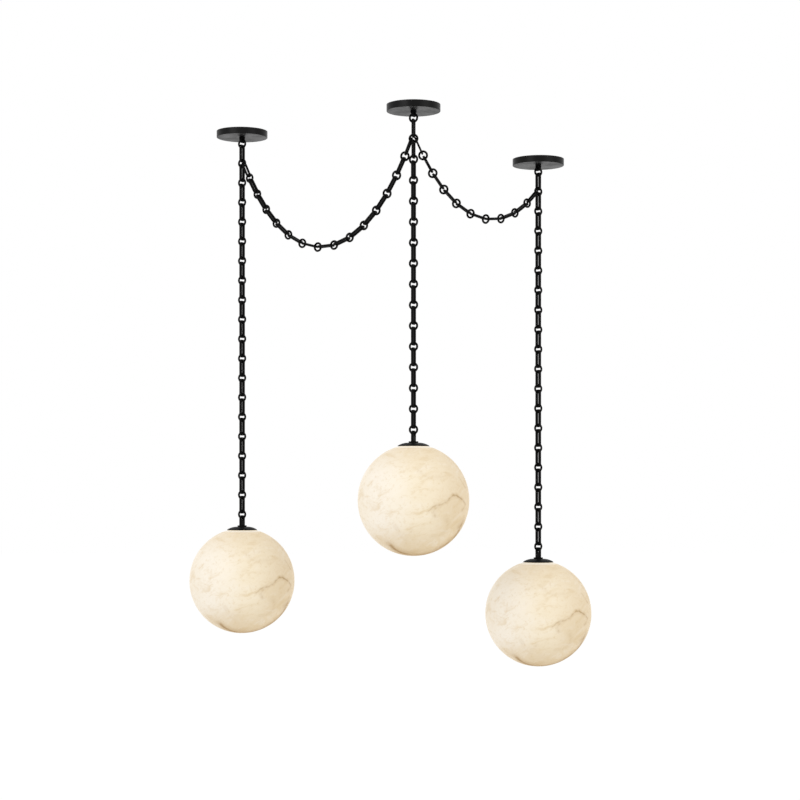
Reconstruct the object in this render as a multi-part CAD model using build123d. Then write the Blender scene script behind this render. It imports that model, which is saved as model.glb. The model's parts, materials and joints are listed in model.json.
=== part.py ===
from build123d import *
import math
import os

# Three alabaster globes on chains, joined by two swags of the same chain.
# Millimetres, +Z up. The origin is the centre of the middle canopy's ceiling face.

os.makedirs("parts", exist_ok=True)

# Ceiling points, and how far the outer two stand below the middle one
left_x = -404
left_y = 268
left_drop = 9
right_x = 294
right_y = 222
right_drop = 83

# Chain: round wire rings, and flat slotted links between them
ring_wire = 4.8
ring_outer = 22.5
link_width = 19
link_thick = 5.4
link_corner = 6
link_edge_radius = 2.0
bow_height = 4.2
slot_length = 33.9
slot_side_gap = 0.5
seat_gap = 0.3

# Slimmer links at the swags' ends, which share a ring with the upright chain
end_link_width = 17
end_link_thick = 4.4
end_link_edge_radius = 1.8

# Most that an edge's radius may take of the plate's thickness or of its bow
edge_share = 0.48

# Number of rings down each chain, and of links along each swag
left_rings = 20
middle_rings = 16
right_rings = 20
left_swag_links = 15
right_swag_links = 10

# The ring that holds the swag, and the rings and links that it holds still, counted from the top
swag_ring = 2
still_rings = 3
still_links = 2

# Directions of the ring planes, in degrees from +X
left_turn = -28
middle_turn = -24
right_turn = 30

# Twist of the middle chain's second ring, and the share of it that the links beside it take
middle_twist = 17
twist_share = 0.5

# Seats of the swags' end links in the second rings, as shares of a ring's inner radius:
# along the swag, up, and to the left of the swag as one looks along it
left_swag_seat_a = (0.32, 0.70, 0.07)
left_swag_seat_b = (0.14, 0.63, -0.48)
right_swag_seat_a = (-0.11, 0.62, -0.73)
right_swag_seat_b = (0.15, 0.33, 0.16)

# Rolls of the end links about the swag's line, in degrees, and the links that each fades over
left_swag_roll_a = 2
left_swag_roll_b = 17.5
right_swag_roll_a = 38
right_swag_roll_b = -1
left_swag_fade = 6
right_swag_fade = 8

# Canopy: a spun cup, open towards the ceiling
canopy_diameter = 120
canopy_height = 15
canopy_wall = 1.2
canopy_edge_radius = 1.0
canopy_hole_gap = 0.2

# Crossbar and its two screws
crossbar_length = 96
crossbar_width = 16
crossbar_thick = 2.5
crossbar_corner = 3
screw_spacing = 70
screw_diameter = 4
screw_shoulder_diameter = 5
screw_hole_gap = 0.15
screw_head_diameter = 8
screw_head_height = 2.4
screw_slot_width = 1.2
screw_slot_depth = 1.0
screw_above_ceiling = 8

# Threaded hanging parts
thread_diameter = 10
thread_gap = 0.05
nipple_bore = 6.5
nipple_above_ceiling = 5
locknut_flats = 14
locknut_height = 3
coupling_flats = 14
thread_end_gap = 0.3

# Loop under the canopy
shoulder_diameter = 14
shoulder_height = 2.65

# Terminal block on the crossbar
terminal_length = 17
terminal_width = 14
terminal_height = 9
terminal_offset = 20.5
terminal_screw_diameter = 3.4
terminal_screw_depth = 3
terminal_screw_spacing = 7.5

# Hanger above each globe
hanger_drop = 26
hanger_slot_length = 8.4
collar_diameter = 21.5
collar_height = 3

# Cap and gasket
cap_diameter = 70
cap_height = 8
cap_rim_height = 1.5
cap_crown_diameter = 26
cap_arc_outward = 0.8
cap_arc_upward = 1.3
gasket_diameter = 67
gasket_bore = 59
gasket_thick = 1

# Alabaster globe
globe_diameter = 248
globe_wall = 7
globe_flat_diameter = 72
globe_hole_diameter = 58
globe_hole_edge = 0.8

# Holder bar under the globe's neck, and its nut
holder_length = 84
holder_width = 16
holder_thick = 3
holder_corner = 3
holder_gap = 0.3
holder_nut_flats = 17
holder_nut_height = 5

# Lampholder and lamp
lampholder_diameter = 38
lampholder_height = 45
lampholder_neck_diameter = 30
lampholder_neck_height = 13
lampholder_stem_depth = 8
socket_depth = 26
lamp_gap = 0.3
lamp_base_diameter = 26.6
lamp_length = 78
lamp_diameter = 45
lamp_collar_height = 12

# Sizes that follow from those above
ring_mean = (ring_outer - ring_wire) / 2
ring_inner = ring_outer / 2 - ring_wire
seat = ring_inner - seat_gap
pitch = slot_length + 2 * seat
slot_width = ring_wire + 2 * slot_side_gap
link_length = slot_length + 2 * bow_height
bow_offset = seat - bow_height / 2
first_ring_drop = canopy_height + shoulder_height + seat_gap + ring_outer / 2
coupling_length = canopy_height - canopy_wall - crossbar_thick
coupling_middle = -crossbar_thick - coupling_length / 2
globe_radius = globe_diameter / 2
globe_inner = globe_radius - globe_wall
globe_flat_height = math.sqrt(globe_radius ** 2 - (globe_flat_diameter / 2) ** 2)
holder_top = math.sqrt(globe_inner ** 2 - (holder_length / 2) ** 2 - (holder_width / 2) ** 2) - holder_gap
cap_top_drop = hanger_drop + collar_height
globe_drop = cap_top_drop + cap_height + gasket_thick + globe_flat_height
holder_drop = globe_drop - holder_top
nut_drop = holder_drop + holder_thick
lampholder_drop = nut_drop + holder_nut_height
stem_end_drop = lampholder_drop + lampholder_stem_depth - thread_end_gap
lamp_drop = lampholder_drop + lampholder_height - socket_depth + lamp_gap

UP = Vector(0, 0, 1)


class Pendant:
    """One ceiling point with its chain and globe."""

    def __init__(self, name, place, rings, turn, twist):
        self.name = name
        self.place = place
        self.rings = rings
        self.turn = turn
        self.twist = twist
        self.last_ring = self.ring_place(rings)

    def ring_place(self, number):
        return self.place - UP * (first_ring_drop + pitch * (number - 1))

    def ring_turn(self, number):
        return self.turn + (self.twist if number == swag_ring else 0)

    def link_turn(self, number):
        beside = number in (swag_ring - 1, swag_ring)
        return self.turn + (self.twist * twist_share if beside else 0)

    def ring(self, number):
        return Location(self.ring_place(number)) * Rot(0, 0, self.ring_turn(number)) * RING

    def link(self, number):
        """The link under the ring of the same number."""
        middle = self.ring_place(number) - UP * pitch / 2
        return Location(middle) * Rot(0, 0, self.link_turn(number)) * LINK

    def at_ceiling(self, shape):
        return Location(self.place) * shape

    def under_last_ring(self, shape):
        return Location(self.last_ring) * Rot(0, 0, self.turn) * shape


def disc(diameter, low, high):
    """A round bar on the Z axis between two heights."""
    return Pos(0, 0, (low + high) / 2) * Cylinder(diameter / 2, high - low)


def hexagon(flats, low, high):
    """A hexagonal bar on the Z axis between two heights."""
    profile = RegularPolygon(flats / 2, 6, major_radius=False)
    return Pos(0, 0, low) * extrude(profile, high - low)


def make_ring():
    """A wire ring that stands in the XZ plane."""
    return Rot(90, 0, 0) * Torus(ring_mean, ring_wire / 2)


def rounded_plate(outline, thick, edge_radius):
    """A plate in the YZ plane with every edge rounded."""
    plate = Rot(0, 0, 90) * Rot(90, 0, 0) * Pos(0, 0, -thick / 2) * extrude(outline, thick)
    return fillet(plate.edges(), min(edge_radius, edge_share * min(thick, bow_height)))


def make_link():
    """A flat link with one long slot, standing in the YZ plane."""
    outline = RectangleRounded(link_width, link_length, link_corner)
    outline -= Rot(0, 0, 90) * SlotOverall(slot_length, slot_width)
    return rounded_plate(outline, link_thick, link_edge_radius)


def make_end_link():
    """A slimmer link with round ends."""
    outline = Rot(0, 0, 90) * (SlotOverall(link_length, end_link_width) - SlotOverall(slot_length, slot_width))
    return rounded_plate(outline, end_link_thick, end_link_edge_radius)


def bow_plate(slot_bottom, slot_top, plate_top):
    """A slotted plate with rounded lower corners, which hooks under a ring."""
    bottom = slot_bottom - bow_height
    height = plate_top - bottom + link_corner
    outline = Pos(0, bottom + height / 2) * RectangleRounded(link_width, height, link_corner)
    outline -= Pos(0, plate_top + link_corner) * Rectangle(2 * link_width, 2 * link_corner)
    outline -= Pos(0, (slot_bottom + slot_top) / 2) * Rot(0, 0, 90) * SlotOverall(slot_top - slot_bottom, slot_width)
    return rounded_plate(outline, link_thick, link_edge_radius)


RING = make_ring()
LINK = make_link()
END_LINK = make_end_link()


def make_canopy():
    radius = canopy_diameter / 2
    shell = disc(canopy_diameter, -canopy_height, 0)
    shell = fillet(shell.edges().sort_by(Axis.Z)[0], canopy_edge_radius)
    shell -= disc(2 * (radius - canopy_wall), -canopy_height + canopy_wall, canopy_height)
    return shell - disc(thread_diameter + 2 * canopy_hole_gap, -2 * canopy_height, 0)


def make_crossbar():
    blank = RectangleRounded(crossbar_length, crossbar_width, crossbar_corner)
    bar = Pos(0, 0, -crossbar_thick) * extrude(blank, crossbar_thick)
    bar -= disc(thread_diameter + 2 * thread_gap, -2 * crossbar_thick, crossbar_thick)
    hole = disc(screw_shoulder_diameter + 2 * screw_hole_gap, -2 * crossbar_thick, crossbar_thick)
    for side in (-1, 1):
        bar -= Pos(side * screw_spacing / 2, 0, 0) * hole
    return bar


def make_screw():
    """A screw with a plain shoulder in the crossbar and a thread up into the ceiling box."""
    head_low = -crossbar_thick - screw_head_height
    screw = disc(screw_head_diameter, head_low, -crossbar_thick)
    screw += disc(screw_shoulder_diameter, -crossbar_thick, 0)
    screw += disc(screw_diameter, 0, screw_above_ceiling)
    slot_middle = head_low + screw_slot_depth / 2
    return screw - Pos(0, 0, slot_middle) * Box(2 * screw_head_diameter, screw_slot_width, screw_slot_depth)


def make_nipple():
    low = coupling_middle + thread_end_gap / 2
    return disc(thread_diameter, low, nipple_above_ceiling) - disc(nipple_bore, low - 1, nipple_above_ceiling + 1)


def make_locknut():
    bore = disc(thread_diameter + 2 * thread_gap, -locknut_height, 2 * locknut_height)
    return hexagon(locknut_flats, 0, locknut_height) - bore


def make_coupling():
    low = -crossbar_thick - coupling_length
    bore = disc(thread_diameter + 2 * thread_gap, 2 * low, 0)
    return hexagon(coupling_flats, low, -crossbar_thick) - bore


def make_loop():
    """Stud, shoulder and slotted bow, which hold up the canopy and the first ring."""
    stud_top = coupling_middle - thread_end_gap / 2
    shoulder_low = -canopy_height - shoulder_height
    slot_bottom = -first_ring_drop + seat
    plate_top = shoulder_low + shoulder_height / 2
    slot_top = shoulder_low + slot_width
    bow = bow_plate(slot_bottom, slot_top, plate_top)
    loop = disc(shoulder_diameter, shoulder_low, -canopy_height)
    loop += disc(thread_diameter, -canopy_height, stud_top)
    return loop + bow


def make_terminal_block():
    low = -crossbar_thick - terminal_height
    block = Pos(0, 0, (low - crossbar_thick) / 2) * Box(terminal_length, terminal_width, terminal_height)
    recess = disc(terminal_screw_diameter, low - 1, low + terminal_screw_depth)
    for side in (-1, 1):
        block -= Pos(side * terminal_screw_spacing / 2, 0, 0) * recess
    return Pos(terminal_offset, 0, 0) * block


def make_hanger():
    """Bow in the last ring, collar on the cap, and stem down to the lampholder."""
    bow = bow_plate(seat, seat + hanger_slot_length, hanger_drop + collar_height / 2)
    hanger = Rot(180, 0, 0) * bow
    hanger += disc(collar_diameter, -cap_top_drop, -hanger_drop)
    return hanger + disc(thread_diameter, -stem_end_drop, -cap_top_drop)


def make_cap():
    """A low turned dome with an upright rim and a flat crown."""
    bore = thread_diameter / 2 + thread_gap
    low = -cap_top_drop - cap_height
    rim = (cap_diameter / 2, low + cap_rim_height)
    crown = (cap_crown_diameter / 2, -cap_top_drop)
    middle = ((rim[0] + crown[0]) / 2 + cap_arc_outward, (rim[1] + crown[1]) / 2 + cap_arc_upward)
    dome = ThreePointArc((rim[0], 0, rim[1]), (middle[0], 0, middle[1]), (crown[0], 0, crown[1]))
    corners = [crown, (bore, -cap_top_drop), (bore, low), (cap_diameter / 2, low), rim]
    sides = Polyline([(radius, 0, height) for radius, height in corners])
    return revolve(make_face(dome.edges() + sides.edges()), Axis.Z)


def make_gasket():
    top = -cap_top_drop - cap_height
    return disc(gasket_diameter, top - gasket_thick, top) - disc(gasket_bore, top - 2 * gasket_thick, top + 1)


def make_globe():
    """A hollow stone ball with a ground flat and a hole at its top."""
    above = Pos(0, 0, globe_flat_height + globe_radius / 2) * Box(globe_diameter, globe_diameter, globe_radius)
    ball = Sphere(globe_radius) - above
    hole = disc(globe_hole_diameter, 0, globe_radius)
    globe = ball - Sphere(globe_inner) - hole
    mouth = globe.edges().filter_by(GeomType.CIRCLE).group_by(Axis.Z)[-1].sort_by(SortBy.RADIUS)[0]
    globe = chamfer(mouth, globe_hole_edge)
    return Pos(0, 0, -globe_drop) * globe


def make_holder():
    blank = RectangleRounded(holder_length, holder_width, holder_corner)
    bar = Pos(0, 0, -holder_drop - holder_thick) * extrude(blank, holder_thick)
    return bar - disc(thread_diameter + 2 * thread_gap, -nut_drop - 1, -holder_drop + 1)


def make_holder_nut():
    bore = disc(thread_diameter + 2 * thread_gap, -lampholder_drop - 1, -nut_drop + 1)
    return hexagon(holder_nut_flats, -lampholder_drop, -nut_drop) - bore


def make_lampholder():
    top = -lampholder_drop
    low = top - lampholder_height
    shoulder = top - lampholder_neck_height
    body = disc(lampholder_diameter, low, shoulder) + disc(lampholder_neck_diameter, shoulder, top)
    body -= disc(thread_diameter + 2 * thread_gap, top - lampholder_stem_depth, top + 1)
    return body - disc(lamp_base_diameter + 2 * lamp_gap, low - 1, low + socket_depth)


def make_lamp():
    """A round lamp whose base stands in the lampholder's socket."""
    ball_middle = -lamp_drop - lamp_length + lamp_diameter / 2
    base_low = -lamp_drop - socket_depth
    lamp = disc(lamp_base_diameter, base_low, -lamp_drop)
    lamp += disc(lamp_base_diameter, base_low - lamp_collar_height, base_low)
    return lamp + Pos(0, 0, ball_middle) * Sphere(lamp_diameter / 2)


def catenary_slopes(links, span, rise):
    """Slopes of equal hanging links: their tangents step up evenly from one end to the other."""

    def angles(first, step):
        return [math.atan(first + step * number) for number in range(links)]

    def first_for(step):
        low, high = -200.0, 200.0
        for _ in range(80):
            first = (low + high) / 2
            reached = pitch * sum(math.sin(angle) for angle in angles(first, step))
            if reached < rise:
                low = first
            else:
                high = first
        return (low + high) / 2

    low, high = 0.0, 40.0
    for _ in range(80):
        step = (low + high) / 2
        reached = pitch * sum(math.cos(angle) for angle in angles(first_for(step), step))
        if reached > span:
            low = step
        else:
            high = step
    step = (low + high) / 2
    return angles(first_for(step), step)


class Swag:
    """A chain that hangs between the second rings of two pendants."""

    def __init__(self, name, start, end, links, seats, rolls, fade):
        self.name = name
        self.links = links
        self.rolls = rolls
        self.fade = fade
        first = start.ring_place(swag_ring)
        last = end.ring_place(swag_ring)
        along = self.level(last - first)
        first += self.seat_shift(along, seats[0], 1)
        last += self.seat_shift(along, seats[1], -1)
        self.along = self.level(last - first)
        self.side = UP.cross(self.along)
        span = (last - first).dot(self.along)
        self.nodes = [first]
        for slope in catenary_slopes(links, span, last.Z - first.Z):
            step = self.along * math.cos(slope) + UP * math.sin(slope)
            self.nodes.append(self.nodes[-1] + step * pitch)

    def level(self, vector):
        return Vector(vector.X, vector.Y, 0).normalized()

    def seat_shift(self, along, shares, sign):
        side = UP.cross(along)
        return (along * sign * shares[0] + UP * shares[1] + side * shares[2]) * ring_inner

    def roll(self, place):
        """Roll at a place counted in links from the first link's middle."""
        from_start = max(0, 1 - place / self.fade)
        from_end = max(0, 1 - (self.links - 1 - place) / self.fade)
        return self.rolls[0] * from_start + self.rolls[1] * from_end

    def posed(self, shape, middle, along, roll):
        wide = self.side.rotate(Axis((0, 0, 0), along), roll)
        across = wide.cross(along * -1)
        return Plane(origin=middle, x_dir=across, z_dir=along * -1).location * shape

    def link(self, number):
        start, end = self.nodes[number], self.nodes[number + 1]
        shape = END_LINK if number in (0, self.links - 1) else LINK
        return self.posed(shape, (start + end) * 0.5, (end - start).normalized(), self.roll(number))

    def ring(self, number):
        along = (self.nodes[number + 1] - self.nodes[number - 1]).normalized()
        return self.posed(RING, self.nodes[number], along, self.roll(number - 0.5))

    def end_links(self):
        return [self.link(0), self.link(self.links - 1)]

    def hanging_links(self):
        return [self.link(number) for number in range(1, self.links - 1)]

    def hanging_rings(self):
        return [self.ring(number) for number in range(1, self.links)]

    def pivots(self):
        """The two places where the swag's end rings bear in its end links."""
        first = (self.nodes[1] - self.nodes[0]).normalized()
        last = (self.nodes[-1] - self.nodes[-2]).normalized()
        return self.nodes[1] - first * ring_mean, self.nodes[-2] + last * ring_mean


def write(node, *shapes):
    """Write one node, as one solid or as a group of separate solids."""
    solids = [solid for shape in shapes for solid in shape.solids()]
    export_step(solids[0] if len(solids) == 1 else Compound(children=solids), f"parts/{node}.step")


LEFT = Pendant("left", Vector(left_x, left_y, -left_drop), left_rings, left_turn, 0)
MIDDLE = Pendant("middle", Vector(0, 0, 0), middle_rings, middle_turn, middle_twist)
RIGHT = Pendant("right", Vector(right_x, right_y, -right_drop), right_rings, right_turn, 0)
PENDANTS = [LEFT, MIDDLE, RIGHT]

LEFT_SWAG = Swag(
    "left", LEFT, MIDDLE, left_swag_links,
    (left_swag_seat_a, left_swag_seat_b), (left_swag_roll_a, left_swag_roll_b), left_swag_fade,
)
RIGHT_SWAG = Swag(
    "right", MIDDLE, RIGHT, right_swag_links,
    (right_swag_seat_a, right_swag_seat_b), (right_swag_roll_a, right_swag_roll_b), right_swag_fade,
)
SWAGS = [LEFT_SWAG, RIGHT_SWAG]


def write_ceiling_parts():
    canopy = make_canopy()
    crossbar = make_crossbar()
    loop = make_loop()
    block = make_terminal_block()
    for pendant in PENDANTS:
        write(f"canopy_{pendant.name}", pendant.at_ceiling(canopy))
        write(f"crossbar_{pendant.name}", pendant.at_ceiling(crossbar))
        write(f"canopy_loop_{pendant.name}", pendant.at_ceiling(Rot(0, 0, pendant.ring_turn(1)) * loop))
        write(f"terminal_block_{pendant.name}", pendant.at_ceiling(block))
    screw = make_screw()
    screws = [Pos(side * screw_spacing / 2, 0, 0) * screw for side in (-1, 1)]
    write("crossbar_screws", *[pendant.at_ceiling(piece) for pendant in PENDANTS for piece in screws])
    write("hanging_nipples", *[pendant.at_ceiling(make_nipple()) for pendant in PENDANTS])
    write("nipple_locknuts", *[pendant.at_ceiling(make_locknut()) for pendant in PENDANTS])
    write("stem_couplings", *[pendant.at_ceiling(make_coupling()) for pendant in PENDANTS])


def write_chains():
    still = range(1, still_rings + 1)
    write("top_rings", *[pendant.ring(number) for pendant in PENDANTS for number in still])
    held = range(1, still_links + 1)
    write("top_links", *[pendant.link(number) for pendant in PENDANTS for number in held])
    for pendant in PENDANTS:
        first = still_rings + 1
        last = pendant.rings
        write(f"upper_link_{pendant.name}", pendant.link(still_rings))
        write(f"chain_rings_{pendant.name}", *[pendant.ring(number) for number in range(first, last)])
        write(f"chain_links_{pendant.name}", *[pendant.link(number) for number in range(first, last)])
        write(f"end_ring_{pendant.name}", pendant.ring(last))


def write_globes():
    makers = {
        "globe_hanger": make_hanger,
        "globe_cap": make_cap,
        "globe_gasket": make_gasket,
        "globe": make_globe,
        "holder_bar": make_holder,
        "holder_nut": make_holder_nut,
        "lampholder": make_lampholder,
        "lamp": make_lamp,
    }
    for name, maker in makers.items():
        piece = maker()
        for pendant in PENDANTS:
            write(f"{name}_{pendant.name}", pendant.under_last_ring(piece))


def write_swags():
    write("swag_end_links", *[link for swag in SWAGS for link in swag.end_links()])
    for swag in SWAGS:
        write(f"swag_rings_{swag.name}", *swag.hanging_rings())
        write(f"swag_links_{swag.name}", *swag.hanging_links())


write_ceiling_parts()
write_chains()
write_globes()
write_swags()
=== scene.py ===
"""The looks of the alabaster globe chandelier, and the light and camera it is seen with."""
import json
import math

import bpy
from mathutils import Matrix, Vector


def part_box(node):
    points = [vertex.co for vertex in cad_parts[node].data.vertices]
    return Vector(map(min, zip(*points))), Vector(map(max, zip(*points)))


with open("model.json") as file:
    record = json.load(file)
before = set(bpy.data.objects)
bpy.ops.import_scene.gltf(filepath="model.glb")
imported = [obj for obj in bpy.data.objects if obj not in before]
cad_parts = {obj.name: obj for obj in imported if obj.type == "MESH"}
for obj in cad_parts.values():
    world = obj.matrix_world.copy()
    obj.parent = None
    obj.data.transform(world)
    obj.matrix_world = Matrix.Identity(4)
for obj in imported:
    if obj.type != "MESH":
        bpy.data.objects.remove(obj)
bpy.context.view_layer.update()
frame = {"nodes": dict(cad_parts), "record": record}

# Camera, in metres: level, with the frame shifted up as in the photograph
CAMERA_PLACE = (-0.030, -4.080, -0.8288)
CAMERA_LENS = 82.6
CAMERA_SENSOR = 36.0
CAMERA_SHIFT_UP = 0.097

# Room
FLOOR_HEIGHT = -2.25
FLOOR_SIZE = 60.0
WORLD_LEVEL = 0.72
FLOOR_TONES = ((0.86, 0.86, 0.86, 1), (0.90, 0.90, 0.90, 1))

# What the camera sees of the floor: plain white at this level, and the share of it over the lit floor
FLOOR_WHITE_LEVEL = 1.14
FLOOR_WHITE_SHARE = 0.75

# Lamps: where each stands, and its power in watts
LAMP_TARGET = (-0.1, 0.1, -0.7)
LAMP_SIZE = 2.2
LAMPS = {
    "key": ((-2.6, -2.8, 1.2), 52.0),
    "fill": ((2.8, -2.2, 0.4), 24.0),
}

# Stone, in metres
GLOBES = ("left", "middle", "right")
GLOBE_RADIUS = 0.124

# Darker and lighter tone of each plain material, linear
SATIN_BLACK = ((0.0030, 0.0030, 0.0032, 1), (0.0065, 0.0063, 0.0060, 1))
ZINC = ((0.42, 0.42, 0.40, 1), (0.62, 0.62, 0.60, 1))
OPAL_GLASS = ((0.90, 0.82, 0.66, 1), (0.96, 0.90, 0.78, 1))
SILICONE = ((0.95, 0.84, 0.64, 1), (1.0, 0.92, 0.76, 1))
PALE_PLASTIC = ((0.62, 0.60, 0.55, 1), (0.72, 0.70, 0.65, 1))
DARK_PLASTIC = ((0.015, 0.015, 0.015, 1), (0.03, 0.03, 0.03, 1))
LAMP_GLOW = 2.5
GASKET_GLOW = 0.55

# Colours of the stone, linear
STONE_MILK = (0.985, 0.905, 0.780, 1)
STONE_CREAM = (0.955, 0.840, 0.640, 1)
STONE_HONEY = (0.850, 0.695, 0.475, 1)
STONE_SAND = (0.730, 0.540, 0.290, 1)
STONE_AMBER = (0.430, 0.245, 0.060, 1)
STONE_VEIN = (0.330, 0.170, 0.035, 1)

# The stone's own colour and its glow share the seen colour between them
STONE_BASE_SHARE = 0.60
STONE_GLOW_SHARE = 0.40

# Washes of colour over the milky stone, partly its own tone and partly painted shade that darkens the
# ball towards the edge of its disc and its foot: from and to, in ball radii, strength and colour
TONE_AND_SHADE_ACROSS = (
    (-0.55, 0.15, 1.00, STONE_CREAM),
    (0.05, 0.95, 1.00, STONE_HONEY),
    (-0.60, -0.95, 0.45, STONE_HONEY),
)
TONE_AND_SHADE_UPWARD = (
    (-0.30, -1.00, 0.68, STONE_SAND),
    (-0.82, -1.02, 0.40, STONE_AMBER),
    (0.40, 1.00, 0.70, STONE_HONEY),
)
ACROSS_DIRECTION = (0.86, 0.0, 0.0)
UPWARD = (0.0, 0.0, 1.0)

# Cloudy strokes: their lean in radians, their thinness, and the strength of the dark and light ones
STROKE_LEAN = 0.30
STROKE_THINNESS = (1.0, 1.0, 3.2)
DARK_STROKES = 0.44
LIGHT_STROKES = 0.40
MOTTLE = 0.44

# Tan field below the main vein: place on the disc, inner and outer reach, and strength
TAN_FIELD_PLACE = (0.66, -0.26)
TAN_FIELD_REACH = (0.12, 0.50)
TAN_FIELD = 0.24

# Round the mouth, by height in ball radii: a pale band of painted glow where the lamp's light shines
# through the neck, and a fine line of painted shadow of the holder inside the neck below it
MOUTH_GLOW_BAND = (0.925, 0.945)
MOUTH_GLOW_STRENGTH = 0.75
MOUTH_SHADOW_LINE = 0.918
MOUTH_SHADOW_WIDTH = 0.008
MOUTH_SHADOW_STRENGTH = 0.22

# Veins stay away from this band behind the rim of the disc, by depth in ball radii
SEAM_START = (0.02, 0.16)
SEAM_END = (0.36, 0.58)


class Graph:
    """A material's node tree, with short calls for the nodes that the materials use."""

    def __init__(self, name):
        self.material = bpy.data.materials.new(name)
        self.material.use_nodes = True
        self.tree = self.material.node_tree
        self.tree.nodes.clear()

    def node(self, kind, **settings):
        made = self.tree.nodes.new(kind)
        for name, value in settings.items():
            setattr(made, name, value)
        return made

    def put(self, socket, value):
        if isinstance(value, bpy.types.NodeSocket):
            self.tree.links.new(value, socket)
        elif value is not None:
            socket.default_value = value

    def math(self, operation, first, second=None, third=None, clamp=False):
        made = self.node("ShaderNodeMath", operation=operation, use_clamp=clamp)
        for socket, value in zip(made.inputs, (first, second, third)):
            self.put(socket, value)
        return made.outputs[0]

    def vector(self, operation, first, second=None, scale=None):
        made = self.node("ShaderNodeVectorMath", operation=operation)
        self.put(made.inputs[0], first)
        self.put(made.inputs[1], second)
        self.put(made.inputs[3], scale)
        return made.outputs["Value" if operation in ("DOT_PRODUCT", "LENGTH", "DISTANCE") else "Vector"]

    def place(self):
        return self.node("ShaderNodeTexCoord").outputs["Object"]

    def noise(self, place, scale, detail=4.0, roughness=0.5, distortion=0.0, output="Fac"):
        made = self.node("ShaderNodeTexNoise")
        self.put(made.inputs["Vector"], place)
        self.put(made.inputs["Scale"], scale)
        self.put(made.inputs["Detail"], detail)
        self.put(made.inputs["Roughness"], roughness)
        self.put(made.inputs["Distortion"], distortion)
        return made.outputs[output]

    def range(self, value, low, high, to_low=0.0, to_high=1.0, smooth=True):
        kind = "SMOOTHSTEP" if smooth else "LINEAR"
        made = self.node("ShaderNodeMapRange", interpolation_type=kind)
        names = ("Value", "From Min", "From Max", "To Min", "To Max")
        for name, number in zip(names, (value, low, high, to_low, to_high)):
            self.put(made.inputs[name], number)
        return made.outputs["Result"]

    def mix(self, share, first, second, blend="MIX"):
        made = self.node("ShaderNodeMix", data_type="RGBA", blend_type=blend)
        self.put(made.inputs["Factor"], share)
        self.put(made.inputs[6], first)
        self.put(made.inputs[7], second)
        return made.outputs[2]

    def bump(self, height, distance, strength=1.0):
        made = self.node("ShaderNodeBump")
        self.put(made.inputs["Height"], height)
        self.put(made.inputs["Distance"], distance)
        self.put(made.inputs["Strength"], strength)
        return made.outputs["Normal"]

    def surface(self, **values):
        """Close the graph with one Principled shader; names are its sockets', with _ for a space."""
        shader = self.node("ShaderNodeBsdfPrincipled")
        for name, value in values.items():
            self.put(shader.inputs[name.replace("_", " ")], value)
        output = self.node("ShaderNodeOutputMaterial")
        self.tree.links.new(shader.outputs[0], output.inputs["Surface"])
        return self.material


def satin_black(name, gloss, smooth, rough):
    """Fine satin powder coat, with the gloss level and the range of its roughness."""
    graph = Graph(name)
    place = graph.place()
    peel = graph.noise(place, 700.0, 3.0)
    cloud = graph.noise(place, 35.0, 4.0)
    return graph.surface(
        Base_Color=graph.mix(cloud, *SATIN_BLACK),
        Roughness=graph.range(cloud, 0.3, 0.7, smooth, rough),
        Specular_IOR_Level=gloss,
        Normal=graph.bump(peel, 0.00006),
    )


def zinc():
    """Bright zinc plating with a fine spangle."""
    graph = Graph("zinc_plated_steel")
    place = graph.place()
    spangle = graph.noise(place, 260.0, 3.0, distortion=0.6)
    return graph.surface(
        Base_Color=graph.mix(spangle, *ZINC),
        Metallic=1.0,
        Roughness=graph.range(spangle, 0.3, 0.7, 0.28, 0.46),
        Normal=graph.bump(spangle, 0.00003),
    )


def matte_plastic(name, tones):
    """Moulded plastic with a fine grain."""
    graph = Graph(name)
    grain = graph.noise(graph.place(), 1600.0, 2.0)
    return graph.surface(
        Base_Color=graph.mix(grain, *tones),
        Roughness=graph.range(grain, 0.3, 0.7, 0.5, 0.62),
        Specular_IOR_Level=0.4,
        Normal=graph.bump(grain, 0.00005),
    )


def opal_glass():
    """The lit lamp's milky glass."""
    graph = Graph("opal_glass")
    haze = graph.noise(graph.place(), 120.0, 2.0)
    color = graph.mix(haze, *OPAL_GLASS)
    return graph.surface(
        Base_Color=color,
        Roughness=0.3,
        Emission_Color=color,
        Emission_Strength=LAMP_GLOW,
    )


def lit_gasket():
    """Clear silicone that carries the light out under the cap."""
    graph = Graph("lit_gasket")
    haze = graph.noise(graph.place(), 300.0, 2.0)
    color = graph.mix(haze, *SILICONE)
    return graph.surface(
        Base_Color=color,
        Roughness=0.4,
        Emission_Color=color,
        Emission_Strength=GASKET_GLOW,
    )


def on_disc(x, z):
    """A point of the unit ball's front, from its place on the disc that the viewer sees."""
    return Vector((x, -math.sqrt(max(0.0, 1 - x * x - z * z)), z))


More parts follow.
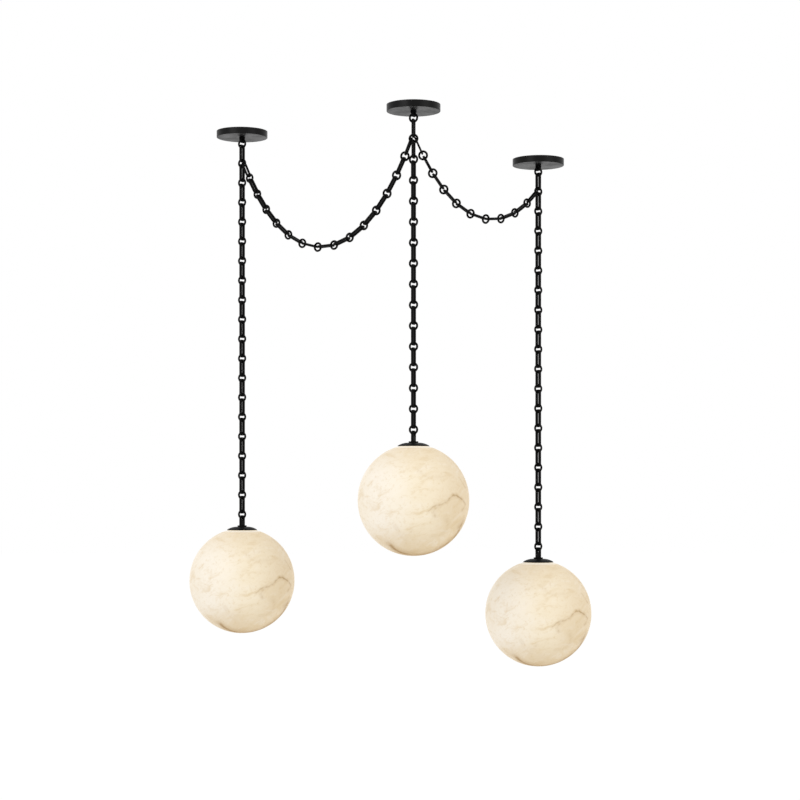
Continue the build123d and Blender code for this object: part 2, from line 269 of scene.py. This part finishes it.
class Stone(Graph):
    """Veined alabaster, drawn in the ball's own directions."""

    def __init__(self, name, centre, turn):
        super().__init__(name)
        offset = self.vector("SUBTRACT", self.place(), tuple(centre))
        ball = self.vector("SCALE", offset, scale=1 / GLOBE_RADIUS)
        spin = self.node("ShaderNodeVectorRotate", rotation_type="Z_AXIS")
        self.put(spin.inputs["Vector"], ball)
        self.put(spin.inputs["Angle"], -turn)
        self.ball = spin.outputs[0]
        self.folded = self.fold(self.ball)

    def fold(self, place):
        """The same veins on the back as on the front."""
        parts = self.node("ShaderNodeSeparateXYZ")
        self.put(parts.inputs[0], place)
        front = self.math("MULTIPLY", self.math("ABSOLUTE", parts.outputs[1]), -1.0)
        joined = self.node("ShaderNodeCombineXYZ")
        for socket, value in zip(joined.inputs, (parts.outputs[0], front, parts.outputs[2])):
            self.put(socket, value)
        return joined.outputs[0]

    def clear_of_seam(self):
        """0 in a band behind the rim of the disc, so that no vein meets its mirror image there."""
        back = self.vector("DOT_PRODUCT", self.ball, (0.0, 1.0, 0.0))
        front_side = self.range(back, *SEAM_START, 1.0, 0.0)
        far_side = self.range(back, *SEAM_END, 0.0, 1.0)
        return self.math("MAXIMUM", front_side, far_side)

    def warp(self, place, scale, amount):
        drift = self.noise(place, scale, 5.0, 0.55, output="Color")
        centred = self.vector("SUBTRACT", drift, (0.5, 0.5, 0.5))
        return self.vector("ADD", place, self.vector("SCALE", centred, scale=amount))

    def segment(self, place, start, end):
        """Distance from a straight stretch between two points."""
        run = end - start
        offset = self.vector("SUBTRACT", place, tuple(start))
        along = self.vector("DOT_PRODUCT", offset, tuple(run))
        share = self.math("MULTIPLY", along, 1 / run.length_squared, clamp=True)
        nearest = self.vector("SCALE", tuple(run), scale=share)
        return self.vector("LENGTH", self.vector("SUBTRACT", offset, nearest))

    def line(self, place, points):
        """Distance from a chain of straight stretches."""
        nearest = None
        for start, end in zip(points, points[1:]):
            distance = self.segment(place, start, end)
            nearest = distance if nearest is None else self.math("MINIMUM", nearest, distance)
        return nearest

    def spot(self, place, centre, inner, outer):
        """1 near a point of the ball and 0 beyond the outer distance."""
        distance = self.vector("DISTANCE", place, tuple(centre))
        return self.range(distance, inner, outer, 1.0, 0.0)

    def tint(self, color, share, strength, other):
        """Mix another colour in, by a share of its full strength."""
        return self.mix(self.math("MULTIPLY", share, strength), color, other)


# Veins on the side that faces the viewer, across and up the disc in ball radii
ARCH = (
    (0.26, -0.18), (0.34, -0.115), (0.42, -0.075), (0.50, -0.06),
    (0.58, -0.03), (0.62, 0.03), (0.69, 0.095),
)
SHOULDER = ((0.69, 0.095), (0.75, 0.085), (0.82, 0.05), (0.88, -0.005), (0.915, -0.065))
TAIL = ((0.915, -0.065), (0.905, -0.12), (0.86, -0.17))
BRANCH = ((0.45, -0.07), (0.39, -0.14), (0.36, -0.20), (0.38, -0.27))
LIMB = ((0.82, 0.38), (0.87, 0.31), (0.92, 0.22))
WISP = ((0.08, 0.56), (0.15, 0.46), (0.26, 0.41), (0.48, 0.42))
SLANT = ((-0.36, -0.40), (-0.25, -0.60), (-0.13, -0.70))
BOTTOM_LEFT = (
    (-0.40, -0.80), (-0.32, -0.87), (-0.22, -0.93), (-0.08, -0.965), (0.06, -0.975), (0.20, -0.965),
)
LOWER_RIGHT = (
    (0.84, -0.46), (0.80, -0.56), (0.72, -0.67), (0.60, -0.77), (0.46, -0.86), (0.30, -0.93),
)
RIM = ((0.58, 0.79), (0.71, 0.68), (0.82, 0.54), (0.90, 0.40), (0.94, 0.28))
LOOP_LOW = ((0.55, -0.30), (0.62, -0.40), (0.58, -0.52), (0.47, -0.60), (0.33, -0.63))
LOOP_LEFT = ((-0.02, -0.50), (-0.10, -0.62), (-0.24, -0.56), (-0.30, -0.44))

# Each vein with its core's width and depth, and the width and depth of the stain round it
VEINS = (
    (ARCH, 0.018, 0.40, 0.060, 0.24),
    (SHOULDER, 0.022, 0.50, 0.065, 0.28),
    (TAIL, 0.016, 0.26, 0.060, 0.22),
    (BRANCH, 0.020, 0.18, 0.080, 0.18),
    (LIMB, 0.018, 0.26, 0.060, 0.20),
    (WISP, 0.016, 0.03, 0.090, 0.10),
    (SLANT, 0.014, 0.04, 0.060, 0.08),
    (LOOP_LOW, 0.016, 0.05, 0.080, 0.10),
    (LOOP_LEFT, 0.014, 0.04, 0.060, 0.08),
    (RIM, 0.020, 0.10, 0.120, 0.18),
    (BOTTOM_LEFT, 0.070, 0.66, 0.200, 0.54),
    (LOWER_RIGHT, 0.075, 0.68, 0.240, 0.58),
)


def alabaster(name, centre, turn):
    """The stone of one globe, turned about the upright so that its main veins face the camera."""
    stone = Stone(name, centre, turn)
    ball = stone.ball
    bent = stone.warp(ball, 2.4, 0.24)
    fine = stone.warp(stone.warp(stone.folded, 6.0, 0.07), 26.0, 0.016)

    # Broad colour: milky on the left, honey towards the right and the crown, sand at the foot; partly
    # the stone's own tone, partly painted shade that darkens the ball towards the edge of its disc and
    # its foot
    color = STONE_MILK
    for direction, tones_and_shade in ((ACROSS_DIRECTION, TONE_AND_SHADE_ACROSS), (UPWARD, TONE_AND_SHADE_UPWARD)):
        reach = stone.vector("DOT_PRODUCT", bent, direction)
        for start, end, strength, other in tones_and_shade:
            color = stone.tint(color, stone.range(reach, start, end), strength, other)

    # Cloudy strokes that lean across the ball
    leaned = stone.node("ShaderNodeVectorRotate", rotation_type="Y_AXIS")
    stone.put(leaned.inputs["Vector"], stone.warp(ball, 1.6, 0.45))
    stone.put(leaned.inputs["Angle"], STROKE_LEAN)
    drawn = stone.vector("MULTIPLY", leaned.outputs[0], STROKE_THINNESS)
    strokes = stone.noise(drawn, 2.4, 9.0, 0.62, 0.5)
    color = stone.tint(color, stone.range(strokes, 0.50, 0.72), DARK_STROKES, STONE_SAND)
    color = stone.tint(color, stone.range(strokes, 0.50, 0.30), LIGHT_STROKES, STONE_MILK)
    mottle = stone.noise(stone.warp(ball, 9.0, 0.08), 16.0, 8.0, 0.7)
    color = stone.tint(color, stone.range(mottle, 0.50, 0.74), MOTTLE, STONE_SAND)

    # Tan field below the arch
    loose = stone.warp(stone.folded, 3.0, 0.20)
    field = stone.spot(loose, on_disc(*TAN_FIELD_PLACE), *TAN_FIELD_REACH)
    color = stone.tint(color, field, TAN_FIELD, STONE_SAND)

    # Round the mouth: a pale band of painted glow from the lamp through the neck, and a fine line of
    # painted shadow of the holder inside the neck below it
    level = stone.vector("DOT_PRODUCT", ball, UPWARD)
    color = stone.tint(color, stone.range(level, *MOUTH_GLOW_BAND), MOUTH_GLOW_STRENGTH, STONE_MILK)
    off_shadow_line = stone.math("ABSOLUTE", stone.math("SUBTRACT", level, MOUTH_SHADOW_LINE))
    line = stone.range(off_shadow_line, 0.0, MOUTH_SHADOW_WIDTH, 1.0, 0.0)
    color = stone.tint(color, line, MOUTH_SHADOW_STRENGTH, STONE_SAND)

    # Veins, each with the stain round it
    strength = stone.range(stone.noise(ball, 7.0, 3.0), 0.35, 0.65, 0.5, 1.0)
    strength = stone.math("MULTIPLY", strength, stone.clear_of_seam())
    for points, core, depth, stain, tint in VEINS:
        distance = stone.line(fine, [on_disc(x, z) for x, z in points])
        near = stone.math("MULTIPLY", stone.range(distance, 0.0, stain, 1.0, 0.0), strength)
        color = stone.tint(color, near, tint, STONE_AMBER)
        line = stone.math("MULTIPLY", stone.range(distance, 0.0, core, 1.0, 0.0), strength)
        color = stone.tint(color, line, depth, STONE_VEIN)

    grain = stone.noise(ball, 40.0, 4.0)
    return stone.surface(
        Base_Color=stone.mix(1.0, color, (STONE_BASE_SHARE,) * 3 + (1,), "MULTIPLY"),
        Roughness=stone.range(grain, 0.3, 0.7, 0.42, 0.50),
        Specular_IOR_Level=0.15,
        Emission_Color=color,
        Emission_Strength=STONE_GLOW_SHARE,
    )


def dress():
    """Give every node its finish."""
    canopy_black = satin_black("canopy_black", 0.10, 0.30, 0.40)
    finishes = {
        "black_metal": satin_black("chain_black", 0.04, 0.42, 0.52),
        "zinc_steel": zinc(),
        "gasket": lit_gasket(),
        "lamp_glass": opal_glass(),
        "terminal_plastic": matte_plastic("terminal_plastic", PALE_PLASTIC),
        "lampholder_plastic": matte_plastic("lampholder_plastic", DARK_PLASTIC),
    }
    for side in GLOBES:
        low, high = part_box(f"globe_{side}")
        centre = Vector(((low.x + high.x) / 2, (low.y + high.y) / 2, low.z + GLOBE_RADIUS))
        sight = centre - Vector(CAMERA_PLACE)
        turn = -math.atan2(sight.x, sight.y)
        finishes[f"globe_{side}"] = alabaster(f"alabaster_{side}", centre, turn)
        finishes[f"canopy_{side}"] = canopy_black
    for part in frame["record"]["subparts"]:
        piece = frame["nodes"][part["node"]]
        finish = finishes.get(part["node"]) or finishes[part["material_slot"]]
        piece.data.materials.clear()
        piece.data.materials.append(finish)


def seen_directly(graph):
    """1 for the camera's own, mirrored and transmitted rays, and 0 for the rays that light things."""
    rays = graph.node("ShaderNodeLightPath")
    most = graph.math("MAXIMUM", rays.outputs["Is Camera Ray"], rays.outputs["Is Glossy Ray"])
    return graph.math("MAXIMUM", most, rays.outputs["Is Transmission Ray"])


def make_floor():
    """A pale floor that keeps the object's shadow and shows as white."""
    bpy.ops.mesh.primitive_plane_add(size=FLOOR_SIZE, location=(0, 0, FLOOR_HEIGHT))
    floor = bpy.context.object
    floor.name = "floor"
    graph = Graph("floor")
    tone = graph.noise(graph.place(), 3.0, 3.0)
    diffuse = graph.node("ShaderNodeBsdfDiffuse")
    graph.put(diffuse.inputs["Color"], graph.mix(tone, *FLOOR_TONES))
    white = graph.node("ShaderNodeEmission")
    graph.put(white.inputs["Strength"], FLOOR_WHITE_LEVEL)
    share = graph.math("MULTIPLY", seen_directly(graph), FLOOR_WHITE_SHARE)
    blend = graph.node("ShaderNodeMixShader")
    graph.put(blend.inputs[0], share)
    graph.put(blend.inputs[1], diffuse.outputs[0])
    graph.put(blend.inputs[2], white.outputs[0])
    output = graph.node("ShaderNodeOutputMaterial")
    graph.put(output.inputs["Surface"], blend.outputs[0])
    floor.data.materials.append(graph.material)


def make_world():
    """Soft light from all round, and a white background for what is seen directly."""
    world = bpy.data.worlds.new("studio")
    world.use_nodes = True
    bpy.context.scene.world = world
    nodes, links = world.node_tree.nodes, world.node_tree.links
    nodes.clear()
    rays = nodes.new("ShaderNodeLightPath")
    first = nodes.new("ShaderNodeMath")
    first.operation = "MAXIMUM"
    links.new(rays.outputs["Is Camera Ray"], first.inputs[0])
    links.new(rays.outputs["Is Glossy Ray"], first.inputs[1])
    second = nodes.new("ShaderNodeMath")
    second.operation = "MAXIMUM"
    links.new(first.outputs[0], second.inputs[0])
    links.new(rays.outputs["Is Transmission Ray"], second.inputs[1])
    level = nodes.new("ShaderNodeMapRange")
    level.inputs["To Min"].default_value = WORLD_LEVEL
    level.inputs["To Max"].default_value = 1.0
    links.new(second.outputs[0], level.inputs["Value"])
    light = nodes.new("ShaderNodeBackground")
    light.inputs["Color"].default_value = (1, 1, 1, 1)
    links.new(level.outputs["Result"], light.inputs["Strength"])
    output = nodes.new("ShaderNodeOutputWorld")
    links.new(light.outputs[0], output.inputs["Surface"])


def make_lamp(name, place, power):
    """A square soft lamp that faces the object."""
    data = bpy.data.lights.new(name, "AREA")
    data.shape = "SQUARE"
    data.size = LAMP_SIZE
    data.energy = power
    lamp = bpy.data.objects.new(name, data)
    bpy.context.scene.collection.objects.link(lamp)
    lamp.location = place
    sight = Vector(LAMP_TARGET) - Vector(place)
    lamp.rotation_euler = sight.to_track_quat("-Z", "Y").to_euler()


def make_camera():
    data = bpy.data.cameras.new("camera")
    data.sensor_width = CAMERA_SENSOR
    data.lens = CAMERA_LENS
    data.shift_y = CAMERA_SHIFT_UP
    camera = bpy.data.objects.new("camera", data)
    bpy.context.scene.collection.objects.link(camera)
    camera.location = CAMERA_PLACE
    camera.rotation_euler = (math.radians(90), 0, 0)
    bpy.context.scene.camera = camera


make_camera()
dress()
make_floor()
make_world()
for lamp_name, (lamp_place, lamp_power) in LAMPS.items():
    make_lamp(lamp_name, lamp_place, lamp_power)
bpy.context.scene.view_settings.view_transform = "Standard"
